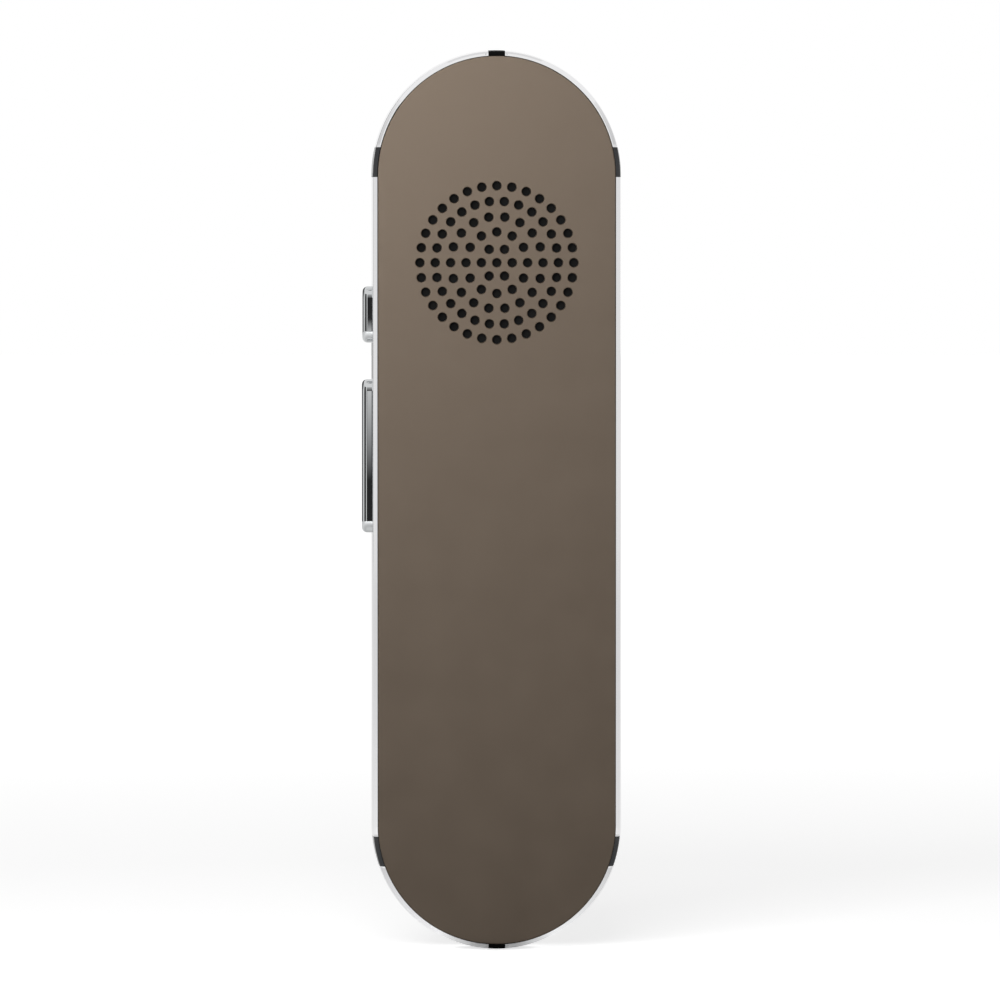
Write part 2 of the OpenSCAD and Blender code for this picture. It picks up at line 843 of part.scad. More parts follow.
module socket_tongue() {
    color("#101010") block([-tongue_half_w, tongue_half_w],
                           [mid_y - tongue_t / 2, mid_y + tongue_t / 2],
                           [usb_mouth_z + tongue_set, usb_mouth_z + usb_l - usb_back_t]);
}

module mic_at(x, z) {
    block([x - mic_size[0] / 2, x + mic_size[0] / 2], [board_y0 - mic_size[1], board_y0],
          mic_span(z));
}

module microphones() {
    color("#d4af37") {
        mic_at(0, upper_mic_z);
        mic_at(mic_x, lower_mic_z);
    }
}

// Rubber duct from a hole in the band's end to the face of a microphone.
module mic_boot(x, z, wall_z) {
    face = board_y0 - mic_size[1];
    z0 = min(z, wall_z);
    z1 = max(z, wall_z);
    below = wall_z > z ? boot_wall : 0;
    above = wall_z > z ? 0 : boot_wall;
    difference() {
        block([x - boot_half_w, x + boot_half_w], [mid_y - boot_drop, face],
              [z0 - below, z1 + above]);
        translate([x, mid_y, z0]) cylinder(r = mic_hole_r, h = z1 - z0 + 0.01, $fn = 32);
        translate([x, mid_y, z]) rotate([-90, 0, 0]) cylinder(r = mic_hole_r, h = 2, $fn = 32);
    }
}

// How far the frame's end wall lies from its arc's centre at a distance x from the middle.
function wall_reach(x) = sqrt(frame_in_r * frame_in_r - x * x);

module microphone_boots() {
    color("#202020") {
        mic_boot(0, upper_mic_z, spine + wall_reach(boot_half_w));
        mic_boot(mic_x, lower_mic_z, -spine - wall_reach(mic_x + boot_half_w));
    }
}

module status_led() {
    color("ivory") on_board(0, light_z, led_w, led_l, led_h);
}

module light_pipe() {
    color("white") turned(0, light_z) {
        washer(0, light_r, board_y1 + led_h, body_t);
        washer(0, light_r + light_lip, deck_y - light_lip_t, deck_y);
    }
}

module antenna_flex() {
    color("#b5651d") block([frame_in_r - film_t, frame_in_r], film_y, film_z);
}

// ---------------------------------------------------------------- battery

module battery() {
    color("#c9ccd0") translate([0, 0, battery_z[0]])
        linear_extrude(battery_z[1] - battery_z[0])
            translate([0, (battery_y[0] + battery_y[1]) / 2]) union() {
                h = battery_y[1] - battery_y[0];
                square([battery_w - 2 * battery_edge, h], center = true);
                square([battery_w, h - 2 * battery_edge], center = true);
                for (x = [-1, 1], y = [-1, 1])
                    translate([x * (battery_w / 2 - battery_edge), y * (h / 2 - battery_edge)])
                        circle(battery_edge, $fn = 32);
            }
}

module battery_tape() {
    color("white") block([-pad_half_w, pad_half_w], [battery_y[1], web_y0], pad_z);
}

module battery_foam() {
    color("#303030") block([-pad_half_w, pad_half_w], [back_t, battery_y[0]], pad_z);
}

module battery_board() {
    color("#14502c")
        block([-pad_half_w, pad_half_w], protect_y, [battery_z[1], battery_z[1] + protect_l]);
}

module battery_leads() {
    color("firebrick") for (s = [-1, 1])
        turned(s, lead_z) washer(0, lead_r, protect_y[1], connector_y0);
}

module battery_connector() {
    color("ivory")
        block([-connector_half_w, connector_half_w], [connector_y0, board_y0], connector_z);
}

// ------------------------------------------------------------------ nodes

back_cover();
front_cover();
left_rail();
right_rail();
upper_left_band();
upper_right_band();
lower_left_band();
lower_right_band();
upper_left_insert();
upper_right_insert();
lower_left_insert();
lower_right_insert();
top_insert();
socket_insert();
mid_frame();
back_adhesive();
front_adhesive();
power_key();
volume_rocker();
rocker_pin();
side_key_bracket();
side_key_flex();
power_dome();
volume_domes();
talk_key_trim();
upper_talk_key();
lower_talk_key();
upper_talk_dome();
lower_talk_dome();
speaker_mesh();
speaker_gasket();
speaker_cone();
voice_coil();
speaker_basket();
pole_plate();
speaker_magnet();
speaker_yoke();
speaker_springs();
main_board();
board_screws();
shield_can();
chips();
charging_socket();
socket_tongue();
microphones();
microphone_boots();
status_led();
light_pipe();
antenna_flex();
battery();
battery_tape();
battery_foam();
battery_board();
battery_leads();
battery_connector();
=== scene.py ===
# %% [markdown]
# # A handheld voice translator
# The real device is a slim pill: a satin metal cover with a drilled speaker grille, a polished
# metal band round the side, and dark inserts that part the band so that it can work as an
# aerial. The CAD model fixes the sizes and every moving body. This lesson dresses it. Pieces
# that are seen are modelled again with smooth, round edges, because the CAD's triangles would
# show as facets in chrome, and every piece gets the finish of the real one.

import json
import math

import bmesh
import bpy
from mathutils import Matrix, Vector


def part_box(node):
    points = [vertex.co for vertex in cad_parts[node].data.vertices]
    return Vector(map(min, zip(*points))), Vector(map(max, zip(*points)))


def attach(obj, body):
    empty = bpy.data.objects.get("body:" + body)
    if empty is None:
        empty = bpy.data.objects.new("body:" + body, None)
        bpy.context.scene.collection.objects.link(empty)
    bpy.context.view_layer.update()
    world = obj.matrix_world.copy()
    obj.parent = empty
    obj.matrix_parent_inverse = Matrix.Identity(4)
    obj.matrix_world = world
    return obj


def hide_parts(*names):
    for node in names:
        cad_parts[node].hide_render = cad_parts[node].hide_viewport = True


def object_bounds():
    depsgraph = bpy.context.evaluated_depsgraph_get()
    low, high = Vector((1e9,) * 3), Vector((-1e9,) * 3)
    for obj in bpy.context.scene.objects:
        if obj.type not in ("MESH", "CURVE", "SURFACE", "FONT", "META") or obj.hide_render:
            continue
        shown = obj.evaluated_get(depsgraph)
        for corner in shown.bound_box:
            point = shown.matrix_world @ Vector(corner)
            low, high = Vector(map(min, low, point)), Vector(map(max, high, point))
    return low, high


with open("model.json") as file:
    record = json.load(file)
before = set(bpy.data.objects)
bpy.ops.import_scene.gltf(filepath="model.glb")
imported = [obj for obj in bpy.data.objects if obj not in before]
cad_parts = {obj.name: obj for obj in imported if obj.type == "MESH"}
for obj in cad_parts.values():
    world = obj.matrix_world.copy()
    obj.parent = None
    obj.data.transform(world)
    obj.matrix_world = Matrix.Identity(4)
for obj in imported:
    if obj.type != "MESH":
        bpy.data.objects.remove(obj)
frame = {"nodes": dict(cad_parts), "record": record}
cad_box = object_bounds()
print("CAD box in metres:", [tuple(round(value, 5) for value in corner) for corner in cad_box])

# %% [markdown]
# ## Sizes
# Blender works in metres and this device is full of tenths of a millimetre, so the shapes are
# drawn in millimetres and scaled once, at the end. The main sizes are read from the boxes of the
# CAD nodes. A change of the CAD then reaches the pieces by itself.

# %% Sizes in millimetres
MM = 0.001


def corners(node):
    """Lowest and highest corner of a CAD node in millimetres, to a hundredth."""
    return [Vector([round(value / MM, 2) for value in corner]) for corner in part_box(node)]


cover_high = corners("back_cover")[1]
glass_low, glass_high = corners("front_cover")
rail_low, rail_high = corners("right_rail")
HALF_WIDTH = rail_high.x
COVER_RADIUS = cover_high.x
SPINE = cover_high.z - cover_high.x
BACK_THICKNESS = cover_high.y
DECK_Y = glass_low.y
FRONT_Y = glass_high.y
MID_Y = FRONT_Y / 2
RIM_DROP = rail_low.y
RIM_WIDTH = 0.9
WALL = 1.6
CROWN_RADIUS = 60.0
print("half width", HALF_WIDTH, "half spine", SPINE, "thickness", FRONT_Y)

# %% [markdown]
# ## Small helpers for materials
# Colours are written as the hex values that a paint program shows. Blender's shaders work in
# linear light, so one function turns one into the other. Another adds a node: its settings are
# given by name, and each of its sockets is given a plain value or another node's output.

# %% Colour and node helpers
def linear(hex_code):
    """An sRGB hex colour as linear RGBA."""
    channels = [int(hex_code[start:start + 2], 16) / 255 for start in (0, 2, 4)]
    bright = [c / 12.92 if c <= 0.04045 else ((c + 0.055) / 1.055) ** 2.4 for c in channels]
    return (*bright, 1.0)


def add_node(tree, kind, settings=None, sockets=None):
    """Adds one node with its settings, and sets or links its input sockets."""
    made = tree.nodes.new(kind)
    for name, value in (settings or {}).items():
        setattr(made, name, value)
    for name, value in (sockets or {}).items():
        if isinstance(value, bpy.types.NodeSocket):
            tree.links.new(value, made.inputs[name])
        else:
            made.inputs[name].default_value = value
    return made


def start_material(name, sockets):
    """A new material with one Principled shader that has these sockets set."""
    material = bpy.data.materials.new(name)
    material.use_nodes = True
    tree = material.node_tree
    tree.nodes.clear()
    shader = add_node(tree, "ShaderNodeBsdfPrincipled", sockets=sockets)
    add_node(tree, "ShaderNodeOutputMaterial", sockets={"Surface": shader.outputs["BSDF"]})
    return material, tree, shader


# %% [markdown]
# ## A grain for every finish
# No real surface is one flat colour. Each finish gets a fine grain: it shifts the colour between
# two close values and the roughness between two values, and on all but the mirror-bright metals
# and the black gloss cover it lifts the surface by a few microns. The grain's size is a real size
# in millimetres, so it keeps its scale on every piece.

# %% Grain recipe
CLOUD_MM = 6.0
CLOUD_SHARE = 0.6
GRAIN_SHARE = 0.4
NOISE_RANGE = (0.3, 0.7)


def give_grain(tree, shader, colours, roughness, grain_mm, relief_mm):
    """Links colour, roughness and bump to a fine grain over a soft, larger clouding."""
    place = add_node(tree, "ShaderNodeTexCoord").outputs["Object"]
    grain = add_node(tree, "ShaderNodeTexNoise", {}, {
        "Vector": place, "Scale": 1 / (grain_mm * MM), "Detail": 3.0, "Roughness": 0.6})
    cloud = add_node(tree, "ShaderNodeTexNoise", {}, {
        "Vector": place, "Scale": 1 / (CLOUD_MM * MM), "Detail": 2.0, "Roughness": 0.5})
    clouded = add_node(tree, "ShaderNodeMath", {"operation": "MULTIPLY"}, {
        0: cloud.outputs["Fac"], 1: CLOUD_SHARE})
    mixed = add_node(tree, "ShaderNodeMath", {"operation": "MULTIPLY_ADD"}, {
        0: grain.outputs["Fac"], 1: GRAIN_SHARE, 2: clouded.outputs[0]})
    # a Mix node of colours numbers its sockets: 0 is the factor, 6 and 7 are the colours
    tint = add_node(tree, "ShaderNodeMix", {"data_type": "RGBA"}, {
        0: mixed.outputs[0], 6: linear(colours[0]), 7: linear(colours[1])})
    sheen = add_node(tree, "ShaderNodeMapRange", {}, {
        "Value": mixed.outputs[0], "From Min": NOISE_RANGE[0], "From Max": NOISE_RANGE[1],
        "To Min": roughness[0], "To Max": roughness[1]})
    tree.links.new(tint.outputs[2], shader.inputs["Base Color"])
    tree.links.new(sheen.outputs["Result"], shader.inputs["Roughness"])
    if relief_mm:
        lift = add_node(tree, "ShaderNodeBump", {}, {
            "Height": grain.outputs["Fac"], "Strength": 1.0, "Distance": relief_mm * MM})
        tree.links.new(lift.outputs["Normal"], shader.inputs["Normal"])


# %% [markdown]
# ## The finishes
# Each one starts from what the real part is made of and how its surface was made. The table has
# one row for each of the record's material slots, so that every CAD node finds its finish by the
# name of its slot.

# %% Table of finishes: two close colours, metallic, roughness range, grain and relief in mm
FINISHES = {
    # blasted and anodised aluminium: a soft, satin metal with a fine, dull grain
    "anodised_cover": ("blasted_anodised_aluminium", ("4D443B", "534A41"), 0.95, (0.35, 0.41),
                       0.15, 0.0015, {}),
    # polished aluminium: bright as a mirror, with the faintest haze from the polishing wheel
    "polished_band": ("polished_aluminium", ("ECECED", "F2F2F3"), 1.0, (0.05, 0.08),
                      0.4, 0, {}),
    # glossy filled nylon, moulded into the gaps of the band
    "dark_insert": ("glossy_moulded_nylon", ("1B1C1E", "222325"), 0.0, (0.14, 0.2),
                    0.3, 0.0004, {}),
    # bright chrome plating on the side keys and the trim
    "chromed_key": ("bright_chrome_plate", ("CCCECF", "D2D4D5"), 1.0, (0.005, 0.015),
                    0.5, 0, {}),
    # black gloss cover: clear, hard and as smooth as glass
    "black_glass": ("black_hard_coated_cover", ("030304", "050506"), 0.0, (0.03, 0.05),
                    0.6, 0, {"IOR": 1.5}),
    # satin moulded keys, with a fine spark-eroded grain
    "talk_key_plastic": ("satin_moulded_abs", ("161618", "1C1C1F"), 0.0, (0.3, 0.38),
                         0.18, 0.002, {}),
    # matt black moulding
    "black_moulding": ("matt_moulded_nylon", ("020202", "040404"), 0.0, (0.5, 0.6),
                       0.2, 0.002, {"Specular IOR Level": 0.05}),
    # pale foam tape with a dull, slightly open face
    "adhesive": ("foam_adhesive_tape", ("DAD6C4", "E6E2D0"), 0.0, (0.6, 0.7), 0.3, 0.004, {}),
    # open foam: rough cells that take all shine
    "black_foam": ("open_cell_foam", ("1C1C1D", "343436"), 0.0, (0.8, 0.95), 0.35, 0.03, {}),
    # fine woven cloth, nearly black behind the holes
    "acoustic_mesh": ("woven_acoustic_cloth", ("020202", "050505"), 0.0, (0.7, 0.9),
                      0.12, 0.01, {"Specular IOR Level": 0.2}),
    # rolled stainless steel with a soft grey shine
    "stainless": ("rolled_stainless_steel", ("A8A8AA", "BABABC"), 1.0, (0.22, 0.34),
                  0.25, 0.0008, {}),
    # tinned sheet, paler and cloudier than stainless
    "tinned_steel": ("tinned_steel_sheet", ("BEBFC0", "D0D1D2"), 1.0, (0.25, 0.4),
                     0.5, 0.001, {}),
    # a plated magnet: dark metal with a satin face
    "magnet_alloy": ("plated_magnet_alloy", ("4C4C50", "5E5E64"), 1.0, (0.3, 0.42),
                     0.2, 0.001, {}),
    # wound wire: warm metal with a fine ripple
    "copper_wire": ("enamelled_copper_wire", ("A8642C", "BF7A3C"), 1.0, (0.25, 0.35),
                    0.12, 0.004, {}),
    # gold-plated springs, smooth and warm
    "gold_contact": ("gold_plated_contact", ("D2A24A", "E0B45C"), 1.0, (0.15, 0.25),
                     0.3, 0.0005, {}),
    # a pressed film, brown and half glossy
    "cone_film": ("pressed_cone_film", ("2E2620", "40362C"), 0.0, (0.4, 0.55), 0.3, 0.004, {}),
    # green lacquer over a woven board
    "circuit_board": ("solder_masked_board", ("0E4426", "165A34"), 0.0, (0.25, 0.4),
                      0.9, 0.004, {}),
    # moulded resin, dull and dark
    "chip_resin": ("moulded_chip_resin", ("141414", "1E1E1F"), 0.0, (0.5, 0.65),
                   0.15, 0.003, {}),
    # amber film with a smooth shine
    "polyimide_film": ("polyimide_film", ("9A5518", "B86A22"), 0.0, (0.2, 0.35),
                       0.8, 0.001, {}),
    # soft moulded rubber, dark and matt
    "seal_rubber": ("moulded_silicone_rubber", ("161617", "242426"), 0.0, (0.55, 0.7),
                    0.3, 0.003, {}),
    # a pale moulded connector with a satin face
    "ivory_nylon": ("moulded_ivory_nylon", ("D8D2BE", "E6E1CF"), 0.0, (0.35, 0.5),
                    0.3, 0.002, {}),
    # clear acrylic that carries the light to the front
    "clear_pipe": ("clear_acrylic_light_pipe", ("E8ECF0", "F4F6F8"), 0.0, (0.08, 0.15),
                   0.4, 0.0005, {"Transmission Weight": 0.5, "IOR": 1.49}),
    # crinkled foil over the cell, silver and half matt
    "battery_pouch": ("aluminium_pouch_foil", ("B6B9BD", "CACDD1"), 0.7, (0.3, 0.42),
                      0.7, 0.006, {}),
    # the red sleeve of a wire
    "red_sleeve": ("red_wire_sleeve", ("8E1616", "A82020"), 0.0, (0.35, 0.45), 0.2, 0.001, {}),
}

finish = {}
for slot_name, (title, colours, metallic, rough, grain_mm, relief_mm, more) in FINISHES.items():
    material, tree, shader = start_material(title, {"Metallic": metallic, **more})
    give_grain(tree, shader, colours, rough, grain_mm, relief_mm)
    finish[slot_name] = material
print(len(finish), "finishes")

# %% [markdown]
# ## Small helpers for shapes
# A bmesh is a mesh in the making. These helpers draw an outline, push a face out, round an edge
# and add or take away one closed shape from another, which is all that this device needs.

# %% Outlines
def pill_loop(bm, radius, half_spine, y, z=0.0, steps=48):
    """Draws an outline with parallel sides and round ends by spinning a point round each end."""
    before = set(bm.edges)
    ends = []
    for side in (1, -1):
        centre = Vector((0, y, z + side * half_spine))
        start = bm.verts.new(centre + Vector((side * radius, 0, 0)))
        spun = bmesh.ops.spin(bm, geom=[start], cent=centre, axis=(0, -1, 0),
                              angle=math.pi, steps=steps)
        last = [part for part in spun["geom_last"] if isinstance(part, bmesh.types.BMVert)][0]
        ends.append((start, last))
    bm.edges.new((ends[0][1], ends[1][0]))
    bm.edges.new((ends[1][1], ends[0][0]))
    return [edge for edge in bm.edges if edge not in before]


def circle_loop(bm, radius, centre, steps=32):
    """Draws a circle that faces along Y."""
    facing = Matrix.Translation(centre) @ Matrix.Rotation(math.radians(90), 4, "X")
    made = bmesh.ops.create_circle(bm, cap_ends=False, radius=radius, segments=steps,
                                   matrix=facing)
    return list(dict.fromkeys(edge for vert in made["verts"] for edge in vert.link_edges))


def bridge(bm, loops):
    """Joins each outline to the next one with a strip of faces."""
    for near, far in zip(loops, loops[1:]):
        bmesh.ops.bridge_loops(bm, edges=near + far)


# %% Faces, edges and solids
def push(bm, faces, step):
    """Extrudes faces by a step in millimetres and returns the new far faces."""
    grown = bmesh.ops.extrude_face_region(bm, geom=faces)["geom"]
    bmesh.ops.translate(bm, vec=step,
                        verts=[part for part in grown if isinstance(part, bmesh.types.BMVert)])
    return [part for part in grown if isinstance(part, bmesh.types.BMFace)]


def round_edges(bm, edges, width, steps):
    """Rounds these edges."""
    bmesh.ops.bevel(bm, geom=list(edges), offset=width, offset_type="OFFSET", segments=steps,
                    profile=0.5, affect="EDGES", material=-1, clamp_overlap=False)


def soften(bm, width, steps=2, limit=25):
    """Rounds every edge that turns by more than this limit in degrees."""
    sharp = [edge for edge in bm.edges
             if edge.is_manifold and edge.calc_face_angle() > math.radians(limit)]
    round_edges(bm, sharp, width, steps)


def pill_block(radius, half_spine, height, edge=0.0, steps=20):
    """A pill-shaped block on the plane Y = 0 with its length along Z and a rounded upper edge."""
    bm = bmesh.new()
    outline = pill_loop(bm, radius, half_spine, 0, steps=steps)
    base = bmesh.ops.edgeloop_fill(bm, edges=outline)["faces"]
    top = push(bm, base, (0, height, 0))
    if edge:
        round_edges(bm, top[0].edges, edge, steps // 3)
    bmesh.ops.recalc_face_normals(bm, faces=bm.faces)
    return bm


def box_block(low, high):
    """A plain block between two corners."""
    bm = bmesh.new()
    low = Vector(low)
    high = Vector(high)
    bmesh.ops.create_cube(bm, size=1.0)
    bmesh.ops.scale(bm, vec=high - low, verts=bm.verts)
    bmesh.ops.translate(bm, vec=(low + high) / 2, verts=bm.verts)
    return bm


def rod(radius, length, matrix, steps=32):
    """A round rod about the matrix's Z axis, centred on it."""
    bm = bmesh.new()
    bmesh.ops.create_cone(bm, cap_ends=True, segments=steps, radius1=radius, radius2=radius,
                          depth=length, matrix=matrix)
    return bm


# %% Adding and taking away
WELD = 0.0005


def combine(bm, other, operation):
    """Adds another closed shape to this one, or takes it away, with a Boolean modifier."""
    meshes = []
    for part in (bm, other):
        mesh = bpy.data.meshes.new("working")
        part.to_mesh(mesh)
        part.free()
        meshes.append(bpy.data.objects.new("working", mesh))
        bpy.context.collection.objects.link(meshes[-1])
    cut = meshes[0].modifiers.new("cut", "BOOLEAN")
    cut.operation = operation
    cut.solver = "EXACT"
    cut.object = meshes[1]
    graph = bpy.context.evaluated_depsgraph_get()
    result = bmesh.new()
    result.from_mesh(meshes[0].evaluated_get(graph).to_mesh())
    for working in meshes:
        bpy.data.meshes.remove(working.data)
    bmesh.ops.remove_doubles(result, verts=result.verts, dist=WELD)
    return result


# %% [markdown]
# ## From drawing to piece
# Every piece ends the same way: it is scaled from millimetres to metres, shaded smooth with its
# flat faces kept flat, given its finish and hung on the body that carries it, and the CAD nodes
# that it stands for are hidden.

# %% Finishing a piece
SHARP_DEGREES = 32
slot_of = {part["node"]: part["material_slot"] for part in frame["record"]["subparts"]}


def make_piece(name, bm, body, *nodes):
    """Turns a drawing in millimetres into a piece that rides on a body and replaces CAD nodes."""
    bmesh.ops.scale(bm, vec=(MM, MM, MM), verts=bm.verts)
    mesh = bpy.data.meshes.new(name)
    bm.to_mesh(mesh)
    bm.free()
    mesh.shade_smooth()
    mesh.set_sharp_from_angle(angle=math.radians(SHARP_DEGREES))
    piece = bpy.data.objects.new(name, mesh)
    bpy.context.collection.objects.link(piece)
    even = piece.modifiers.new("flat faces stay flat", "WEIGHTED_NORMAL")
    even.keep_sharp = True
    mesh.materials.append(finish[slot_of[nodes[0]]])
    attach(piece, body)
    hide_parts(*nodes)
    print(name, len(mesh.polygons), "faces")
    return piece


# %% [markdown]
# ## The metal band
# The real band is one extruded aluminium ring, milled and then polished. Its section is the same
# all the way: a side that is very slightly crowned, a chamfer towards each cover, and a seat that
# each cover drops into. So the section is drawn once and swept: extruded along the straight
# stretch, spun round the end. Every piece of the band is one such sweep between two cuts, drawn
# at the upper right end and mirrored to its own corner.

# %% The band's section
def crown_start():
    """Where the 45 degree chamfer meets the crowned side, as radius and Y."""
    # the crown is a circle about (centre, MID_Y), the chamfer the line x - y = offset
    centre = HALF_WIDTH - CROWN_RADIUS
    offset = HALF_WIDTH - RIM_WIDTH - RIM_DROP
    half = (centre - MID_Y - offset) / 2
    along = math.sqrt(CROWN_RADIUS ** 2 / 2 - half ** 2)
    return centre - half + along, MID_Y + half + along


def band_section(bm, steps=10):
    """The band's section as one face in the plane Z = 0, right of the middle."""
    start_x, start_y = crown_start()
    seat = HALF_WIDTH - RIM_WIDTH
    inner = HALF_WIDTH - WALL
    half_turn = math.asin((MID_Y - start_y) / CROWN_RADIUS)
    start = bm.verts.new((start_x, start_y, 0))
    bmesh.ops.spin(bm, geom=[start], cent=(HALF_WIDTH - CROWN_RADIUS, MID_Y, 0),
                   axis=(0, 0, 1), angle=2 * half_turn, steps=steps)
    crown = list(bm.verts)
    rest = [(seat, FRONT_Y - RIM_DROP), (seat, DECK_Y), (inner, DECK_Y),
            (inner, BACK_THICKNESS), (seat, BACK_THICKNESS), (seat, RIM_DROP)]
    others = [bm.verts.new((x, y, 0)) for x, y in rest]
    return bm.faces.new(crown + others)


# %% Sweeping the section between two cuts
MEAN_RADIUS = HALF_WIDTH - WALL / 2
ARC_STEP_DEGREES = 1.5


def cut_angle(axis, at):
    """Angle above the horizontal at which the band's middle meets a flat cut."""
    return math.asin(at / MEAN_RADIUS) if axis == "z" else math.acos(at / MEAN_RADIUS)


def slide_to_cut(verts, axis, at):
    """Moves the points of an end section round the arc until they lie in the cut's plane."""
    for vert in verts:
        radius = math.hypot(vert.co.x, vert.co.z)
        across = math.sqrt(radius ** 2 - at ** 2)
        vert.co.x, vert.co.z = (across, at) if axis == "z" else (at, across)


def band_run(straight, start, end):
    """A stretch of the band: a straight part or a cut to begin with, then an arc to a cut."""
    bm = bmesh.new()
    face = band_section(bm)
    first = 0.0
    near = list(face.verts)
    if straight:
        bmesh.ops.translate(bm, vec=(0, 0, -straight), verts=near)
        face = push(bm, [face], (0, 0, straight))[0]
    else:
        first = cut_angle(*start)
        turned = Matrix.Rotation(-first, 3, "Y")
        bmesh.ops.rotate(bm, cent=(0, 0, 0), matrix=turned, verts=near)
    last = cut_angle(*end)
    parts = max(2, round(math.degrees(last - first) / ARC_STEP_DEGREES))
    spun = bmesh.ops.spin(bm, geom=[face, *face.edges, *face.verts], cent=(0, 0, 0),
                          axis=(0, -1, 0), angle=last - first, steps=parts)
    far = [part for part in spun["geom_last"] if isinstance(part, bmesh.types.BMVert)]
    slide_to_cut(far, *end)
    if not straight:
        slide_to_cut(near, *start)
    return bm


def to_corner(bm, side, up):
    """Moves a run from the origin to its own end of the body, mirrored as needed."""
    bmesh.ops.translate(bm, vec=(0, 0, SPINE), verts=bm.verts)
    bmesh.ops.scale(bm, vec=(side, 1, up), verts=bm.verts)
    bmesh.ops.recalc_face_normals(bm, faces=bm.faces)
    return bm


# %% Where the band is cut
upper_low, upper_high = corners("upper_right_insert")
lower_low, lower_high = corners("lower_right_insert")
strip_half = corners("top_insert")[1].x
UPPER_CUT = upper_high.z - SPINE
INSERT_STRAIGHT = SPINE - upper_low.z
LOWER_CUT = -SPINE - lower_low.z
RAIL_CUT = -SPINE - lower_high.z
RAIL_STRAIGHT = SPINE + rail_high.z
print("cuts above and below the arcs' centres:", UPPER_CUT, LOWER_CUT, RAIL_CUT)

# %% [markdown]
# ### Slots and notches
# The left rail has a slot for each side key. The lower arcs are notched for the moulding round
# the charging socket, and the right one is drilled for the microphone. These are cut out after
# the sweep, and only then are all sharp edges broken, as a deburring tool does it. A broken edge
# of a twentieth of a millimetre is what draws the fine bright line along each edge.

# %% Cutters
EDGE_BREAK = 0.05
KEY_WIDTH = 3.6
KEY_GAP = 0.1
# how far past the wall's inner face a cutter starts
CUTTER_PAST = 1
power_low, power_high = corners("power_key")
rocker_low, rocker_high = corners("volume_rocker")
POWER_FLANGE = 0.7
power_z = (power_low.z + power_high.z) / 2
power_half = (power_high.z - power_low.z) / 2 - POWER_FLANGE
rocker_z = (rocker_low.z + rocker_high.z) / 2
rocker_half = (rocker_high.z - rocker_low.z) / 2
ROCKER_END_GAP = 0.19
# the rocker's visible block is longer at each end, and sits higher, than the CAD's by this much
ROCKER_EXTRA = 0.2
ROCKER_SHIFT = 0.07


def facing_left(x, z):
    """Turns a block that stands on Y = 0 so that it stands out of the left side at x and z."""
    return Matrix.Translation((x, MID_Y, z)) @ Matrix.Rotation(math.radians(90), 4, "Z")


def key_slot(z, half_length, end_gap):
    """A cutter for a key's slot through the left wall."""
    radius = KEY_WIDTH / 2 + KEY_GAP
    bm = pill_block(radius, half_length + end_gap - radius, 2 * WALL + CUTTER_PAST)
    start = -HALF_WIDTH + WALL + CUTTER_PAST
    bmesh.ops.transform(bm, matrix=facing_left(start, z), verts=bm.verts)
    return bm


def socket_prism(radius, half_spine):
    """A cutter along the body that faces down, with its length across the body."""
    bm = pill_block(radius, half_spine, 2 * HALF_WIDTH)
    down = (Matrix.Translation((0, MID_Y, -SPINE)) @ Matrix.Rotation(math.radians(-90), 4, "X")
            @ Matrix.Rotation(math.radians(90), 4, "Y"))
    bmesh.ops.transform(bm, matrix=down, verts=bm.verts)
    return bm


# %% Rails
SIDES = {"left": -1, "right": 1}
for word, side in SIDES.items():
    rail = to_corner(band_run(RAIL_STRAIGHT, None, ("z", RAIL_CUT)), side, -1)
    if side < 0:
        rail = combine(rail, key_slot(power_z, power_half, KEY_GAP), "DIFFERENCE")
        rail = combine(rail, key_slot(rocker_z + ROCKER_SHIFT, rocker_half + ROCKER_EXTRA,
                                      ROCKER_END_GAP), "DIFFERENCE")
    soften(rail, EDGE_BREAK)
    make_piece("rail_" + word, rail, "housing", word + "_rail")

# %% Arcs and inserts
MIC_RADIUS = 0.5
MIC_X = 9.0
DRILL_OUT = 20
SOCKET_SURROUND = (2.6, 3.2)
for word, side in SIDES.items():
    upper = to_corner(band_run(0, ("z", UPPER_CUT), ("x", strip_half)), side, 1)
    soften(upper, EDGE_BREAK)
    make_piece("arc_upper_" + word, upper, "housing", "upper_" + word + "_band")

    lower = to_corner(band_run(0, ("z", LOWER_CUT), ("x", strip_half)), side, -1)
    lower = combine(lower, socket_prism(*SOCKET_SURROUND), "DIFFERENCE")
    if side > 0:
        drill = rod(MIC_RADIUS, 2 * HALF_WIDTH,
                    Matrix.Translation((MIC_X, MID_Y, -SPINE - DRILL_OUT)))
        lower = combine(lower, drill, "DIFFERENCE")
    soften(lower, EDGE_BREAK)
    make_piece("arc_lower_" + word, lower, "housing", "lower_" + word + "_band")

    insert = to_corner(band_run(INSERT_STRAIGHT, None, ("z", UPPER_CUT)), side, 1)
    soften(insert, EDGE_BREAK)
    make_piece("insert_upper_" + word, insert, "housing", "upper_" + word + "_insert")

    insert = to_corner(band_run(0, ("z", RAIL_CUT), ("z", LOWER_CUT)), side, -1)
    soften(insert, EDGE_BREAK)
    make_piece("insert_lower_" + word, insert, "housing", "lower_" + word + "_insert")

# %% Strip in the middle of the upper end
strip = to_corner(band_run(0, ("x", strip_half), ("x", -strip_half)), 1, 1)
drill = rod(MIC_RADIUS, 2 * DRILL_OUT, Matrix.Translation((0, MID_Y, SPINE + DRILL_OUT)))
strip = combine(strip, drill, "DIFFERENCE")
soften(strip, EDGE_BREAK)
make_piece("strip_top", strip, "housing", "top_insert")

# %% [markdown]
# ## The drilled back cover
# The real cover is a stamped and drilled aluminium sheet. After drilling, each hole is
# countersunk by a tenth of a millimetre, and after blasting the sheet is anodised. That small
# countersink is what shows: it catches a crescent of light at the side of each hole. So each
# hole is modelled as three circles joined by two strips: the wide rim of the countersink, the
# hole, and the hole's far end. The face between the outline and the 95 rims is filled in one go.

